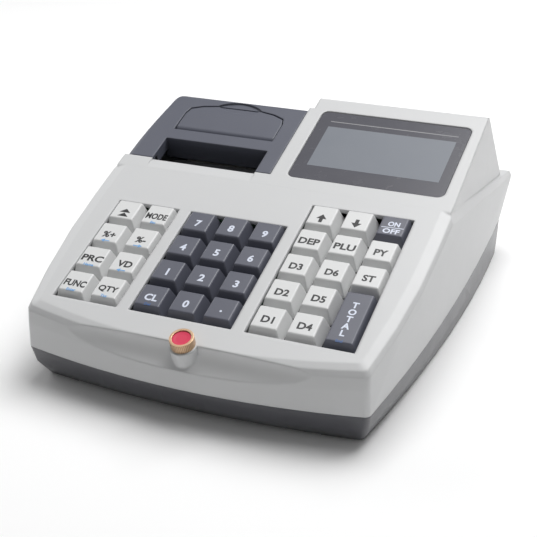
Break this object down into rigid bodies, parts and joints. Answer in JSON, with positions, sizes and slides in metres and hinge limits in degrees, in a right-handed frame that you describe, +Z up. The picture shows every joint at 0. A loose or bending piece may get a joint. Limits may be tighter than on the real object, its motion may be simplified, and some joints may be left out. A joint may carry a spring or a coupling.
{
  "type": "ticket register",
  "caption": "Counter-top ticket register with a sloped keyboard, a till-roll printer under a dark cover, and a display on a raised hump.",
  "frame": {"origin": "centre of the footprint box, on the surface that the feet stand on", "axes": "+X to the right of the person at the keys, +Y from that person towards the back, +Z up"},
  "size_m": [0.1992, 0.2656, 0.1034],
  "materials": {
    "base_plastic": "moulded, fine texture",
    "shell_plastic": "moulded, satin",
    "cover_plastic": "moulded, fine texture",
    "key_light": "moulded, satin",
    "key_dark": "moulded, satin",
    "switch_plastic": "moulded",
    "gear_plastic": "moulded, unpainted",
    "window": "polished, smoked",
    "readout": "plain grey-blue readout",
    "circuit_board": "lacquered green",
    "frame_metal": "plated sheet steel",
    "steel": "plated",
    "brass": "turned, milled edge",
    "seal_wax": "dull red filling",
    "rubber": "plain",
    "battery": "shrink sleeve",
    "paper": "smooth thermal paper"
  },
  "bodies": {
    "root": {"base_shell": "base_plastic", "top_shell": "shell_plastic", "printer_cover": "cover_plastic", "lid_pin": "steel", "display_window": "window", "lcd_module": "readout", "customer_window": "window", "customer_lcd": "readout", "key_board": "circuit_board", "key_switches": "switch_plastic", "board_screws": "steel", "main_board": "circuit_board", "printer_frame": "frame_metal", "stepper_motor": "frame_metal", "tear_bar": "steel", "battery_pack": "battery", "seal_cup": "brass", "seal_wax": "seal_wax", "case_screws": "steel", "rubber_feet": "rubber"},
    "flap": {"paper_lid": "cover_plastic"},
    "platen": {"platen_roller": "rubber", "platen_gear": "gear_plastic"},
    "pinion": {"motor_pinion": "gear_plastic"},
    "head": {"print_head": "frame_metal"},
    "till_roll": {"paper_roll": "paper"},
    "button_func": {"key_func": "key_light"},
    "button_qty": {"key_qty": "key_light"},
    "button_prc": {"key_prc": "key_light"},
    "button_vd": {"key_vd": "key_light"},
    "button_percent_plus": {"key_percent_plus": "key_light"},
    "button_percent_minus": {"key_percent_minus": "key_light"},
    "button_double_up": {"key_double_up": "key_light"},
    "button_mode": {"key_mode": "key_light"},
    "button_cl": {"key_cl": "key_dark"},
    "button_0": {"key_0": "key_dark"},
    "button_point": {"key_point": "key_dark"},
    "button_1": {"key_1": "key_dark"},
    "button_2": {"key_2": "key_dark"},
    "button_3": {"key_3": "key_dark"},
    "button_4": {"key_4": "key_dark"},
    "button_5": {"key_5": "key_dark"},
    "button_6": {"key_6": "key_dark"},
    "button_7": {"key_7": "key_dark"},
    "button_8": {"key_8": "key_dark"},
    "button_9": {"key_9": "key_dark"},
    "button_d1": {"key_d1": "key_light"},
    "button_d4": {"key_d4": "key_light"},
    "button_total": {"key_total": "key_dark"},
    "button_d2": {"key_d2": "key_light"},
    "button_d5": {"key_d5": "key_light"},
    "button_d3": {"key_d3": "key_light"},
    "button_d6": {"key_d6": "key_light"},
    "button_st": {"key_st": "key_light"},
    "button_dep": {"key_dep": "key_light"},
    "button_plu": {"key_plu": "key_light"},
    "button_py": {"key_py": "key_light"},
    "button_arrow_up": {"key_arrow_up": "key_light"},
    "button_arrow_down": {"key_arrow_down": "key_light"},
    "button_on_off": {"key_on_off": "key_dark"}
  },
  "joints": [
    {"name": "flap_hinge", "type": "hinge", "parent": "root", "child": "flap", "pos_m": [-0.0479, 0.02994, 0.08725], "axis": [1, 0, 0], "range_deg": [0, 92]},
    {"name": "platen_spin", "type": "hinge", "parent": "root", "child": "platen", "pos_m": [-0.0479, 0.01229, 0.0668], "axis": [1, 0, 0], "continuous": true},
    {"name": "pinion_spin", "type": "hinge", "parent": "root", "child": "pinion", "pos_m": [-0.0479, 0.00902, 0.05139], "axis": [1, 0, 0], "continuous": true},
    {"name": "till_roll_spin", "type": "hinge", "parent": "root", "child": "till_roll", "pos_m": [-0.0479, 0.0548, 0.0536], "axis": [1, 0, 0], "continuous": true},
    {"name": "head_release", "type": "hinge", "parent": "root", "child": "head", "pos_m": [-0.0479, 0.02323, 0.05774], "axis": [-1, 0, 0], "range_deg": [0, 6], "stiffness_Nm_per_rad": 1, "springref_deg": -5.73},
    {"name": "press_func", "type": "slide", "parent": "root", "child": "button_func", "axis": [0, 0.309, -0.9511], "range_m": [0, 0.003], "stiffness_N_per_m": 200, "springref_m": -0.001},
    {"name": "press_qty", "type": "slide", "parent": "root", "child": "button_qty", "axis": [0, 0.309, -0.9511], "range_m": [0, 0.003], "stiffness_N_per_m": 200, "springref_m": -0.001},
    {"name": "press_prc", "type": "slide", "parent": "root", "child": "button_prc", "axis": [0, 0.309, -0.9511], "range_m": [0, 0.003], "stiffness_N_per_m": 200, "springref_m": -0.001},
    {"name": "press_vd", "type": "slide", "parent": "root", "child": "button_vd", "axis": [0, 0.309, -0.9511], "range_m": [0, 0.003], "stiffness_N_per_m": 200, "springref_m": -0.001},
    {"name": "press_percent_plus", "type": "slide", "parent": "root", "child": "button_percent_plus", "axis": [0, 0.309, -0.9511], "range_m": [0, 0.003], "stiffness_N_per_m": 200, "springref_m": -0.001},
    {"name": "press_percent_minus", "type": "slide", "parent": "root", "child": "button_percent_minus", "axis": [0, 0.309, -0.9511], "range_m": [0, 0.003], "stiffness_N_per_m": 200, "springref_m": -0.001},
    {"name": "press_double_up", "type": "slide", "parent": "root", "child": "button_double_up", "axis": [0, 0.309, -0.9511], "range_m": [0, 0.003], "stiffness_N_per_m": 200, "springref_m": -0.001},
    {"name": "press_mode", "type": "slide", "parent": "root", "child": "button_mode", "axis": [0, 0.309, -0.9511], "range_m": [0, 0.003], "stiffness_N_per_m": 200, "springref_m": -0.001},
    {"name": "press_cl", "type": "slide", "parent": "root", "child": "button_cl", "axis": [0, 0.309, -0.9511], "range_m": [0, 0.003], "stiffness_N_per_m": 200, "springref_m": -0.001},
    {"name": "press_0", "type": "slide", "parent": "root", "child": "button_0", "axis": [0, 0.309, -0.9511], "range_m": [0, 0.003], "stiffness_N_per_m": 200, "springref_m": -0.001},
    {"name": "press_point", "type": "slide", "parent": "root", "child": "button_point", "axis": [0, 0.309, -0.9511], "range_m": [0, 0.003], "stiffness_N_per_m": 200, "springref_m": -0.001},
    {"name": "press_1", "type": "slide", "parent": "root", "child": "button_1", "axis": [0, 0.309, -0.9511], "range_m": [0, 0.003], "stiffness_N_per_m": 200, "springref_m": -0.001},
    {"name": "press_2", "type": "slide", "parent": "root", "child": "button_2", "axis": [0, 0.309, -0.9511], "range_m": [0, 0.003], "stiffness_N_per_m": 200, "springref_m": -0.001},
    {"name": "press_3", "type": "slide", "parent": "root", "child": "button_3", "axis": [0, 0.309, -0.9511], "range_m": [0, 0.003], "stiffness_N_per_m": 200, "springref_m": -0.001},
    {"name": "press_4", "type": "slide", "parent": "root", "child": "button_4", "axis": [0, 0.309, -0.9511], "range_m": [0, 0.003], "stiffness_N_per_m": 200, "springref_m": -0.001},
    {"name": "press_5", "type": "slide", "parent": "root", "child": "button_5", "axis": [0, 0.309, -0.9511], "range_m": [0, 0.003], "stiffness_N_per_m": 200, "springref_m": -0.001},
    {"name": "press_6", "type": "slide", "parent": "root", "child": "button_6", "axis": [0, 0.309, -0.9511], "range_m": [0, 0.003], "stiffness_N_per_m": 200, "springref_m": -0.001},
    {"name": "press_7", "type": "slide", "parent": "root", "child": "button_7", "axis": [0, 0.309, -0.9511], "range_m": [0, 0.003], "stiffness_N_per_m": 200, "springref_m": -0.001},
    {"name": "press_8", "type": "slide", "parent": "root", "child": "button_8", "axis": [0, 0.309, -0.9511], "range_m": [0, 0.003], "stiffness_N_per_m": 200, "springref_m": -0.001},
    {"name": "press_9", "type": "slide", "parent": "root", "child": "button_9", "axis": [0, 0.309, -0.9511], "range_m": [0, 0.003], "stiffness_N_per_m": 200, "springref_m": -0.001},
    {"name": "press_d1", "type": "slide", "parent": "root", "child": "button_d1", "axis": [0, 0.309, -0.9511], "range_m": [0, 0.003], "stiffness_N_per_m": 200, "springref_m": -0.001},
    {"name": "press_d4", "type": "slide", "parent": "root", "child": "button_d4", "axis": [0, 0.309, -0.9511], "range_m": [0, 0.003], "stiffness_N_per_m": 200, "springref_m": -0.001},
    {"name": "press_total", "type": "slide", "parent": "root", "child": "button_total", "axis": [0, 0.309, -0.9511], "range_m": [0, 0.003], "stiffness_N_per_m": 200, "springref_m": -0.001},
    {"name": "press_d2", "type": "slide", "parent": "root", "child": "button_d2", "axis": [0, 0.309, -0.9511], "range_m": [0, 0.003], "stiffness_N_per_m": 200, "springref_m": -0.001},
    {"name": "press_d5", "type": "slide", "parent": "root", "child": "button_d5", "axis": [0, 0.309, -0.9511], "range_m": [0, 0.003], "stiffness_N_per_m": 200, "springref_m": -0.001},
    {"name": "press_d3", "type": "slide", "parent": "root", "child": "button_d3", "axis": [0, 0.309, -0.9511], "range_m": [0, 0.003], "stiffness_N_per_m": 200, "springref_m": -0.001},
    {"name": "press_d6", "type": "slide", "parent": "root", "child": "button_d6", "axis": [0, 0.309, -0.9511], "range_m": [0, 0.003], "stiffness_N_per_m": 200, "springref_m": -0.001},
    {"name": "press_st", "type": "slide", "parent": "root", "child": "button_st", "axis": [0, 0.309, -0.9511], "range_m": [0, 0.003], "stiffness_N_per_m": 200, "springref_m": -0.001},
    {"name": "press_dep", "type": "slide", "parent": "root", "child": "button_dep", "axis": [0, 0.309, -0.9511], "range_m": [0, 0.003], "stiffness_N_per_m": 200, "springref_m": -0.001},
    {"name": "press_plu", "type": "slide", "parent": "root", "child": "button_plu", "axis": [0, 0.309, -0.9511], "range_m": [0, 0.003], "stiffness_N_per_m": 200, "springref_m": -0.001},
    {"name": "press_py", "type": "slide", "parent": "root", "child": "button_py", "axis": [0, 0.309, -0.9511], "range_m": [0, 0.003], "stiffness_N_per_m": 200, "springref_m": -0.001},
    {"name": "press_arrow_up", "type": "slide", "parent": "root", "child": "button_arrow_up", "axis": [0, 0.309, -0.9511], "range_m": [0, 0.003], "stiffness_N_per_m": 200, "springref_m": -0.001},
    {"name": "press_arrow_down", "type": "slide", "parent": "root", "child": "button_arrow_down", "axis": [0, 0.309, -0.9511], "range_m": [0, 0.003], "stiffness_N_per_m": 200, "springref_m": -0.001},
    {"name": "press_on_off", "type": "slide", "parent": "root", "child": "button_on_off", "axis": [0, 0.309, -0.9511], "range_m": [0, 0.003], "stiffness_N_per_m": 200, "springref_m": -0.001}
  ],
  "couplings": [
    {"joint": "pinion_spin", "follows": "platen_spin", "ratio": -3.3333}
  ]
}
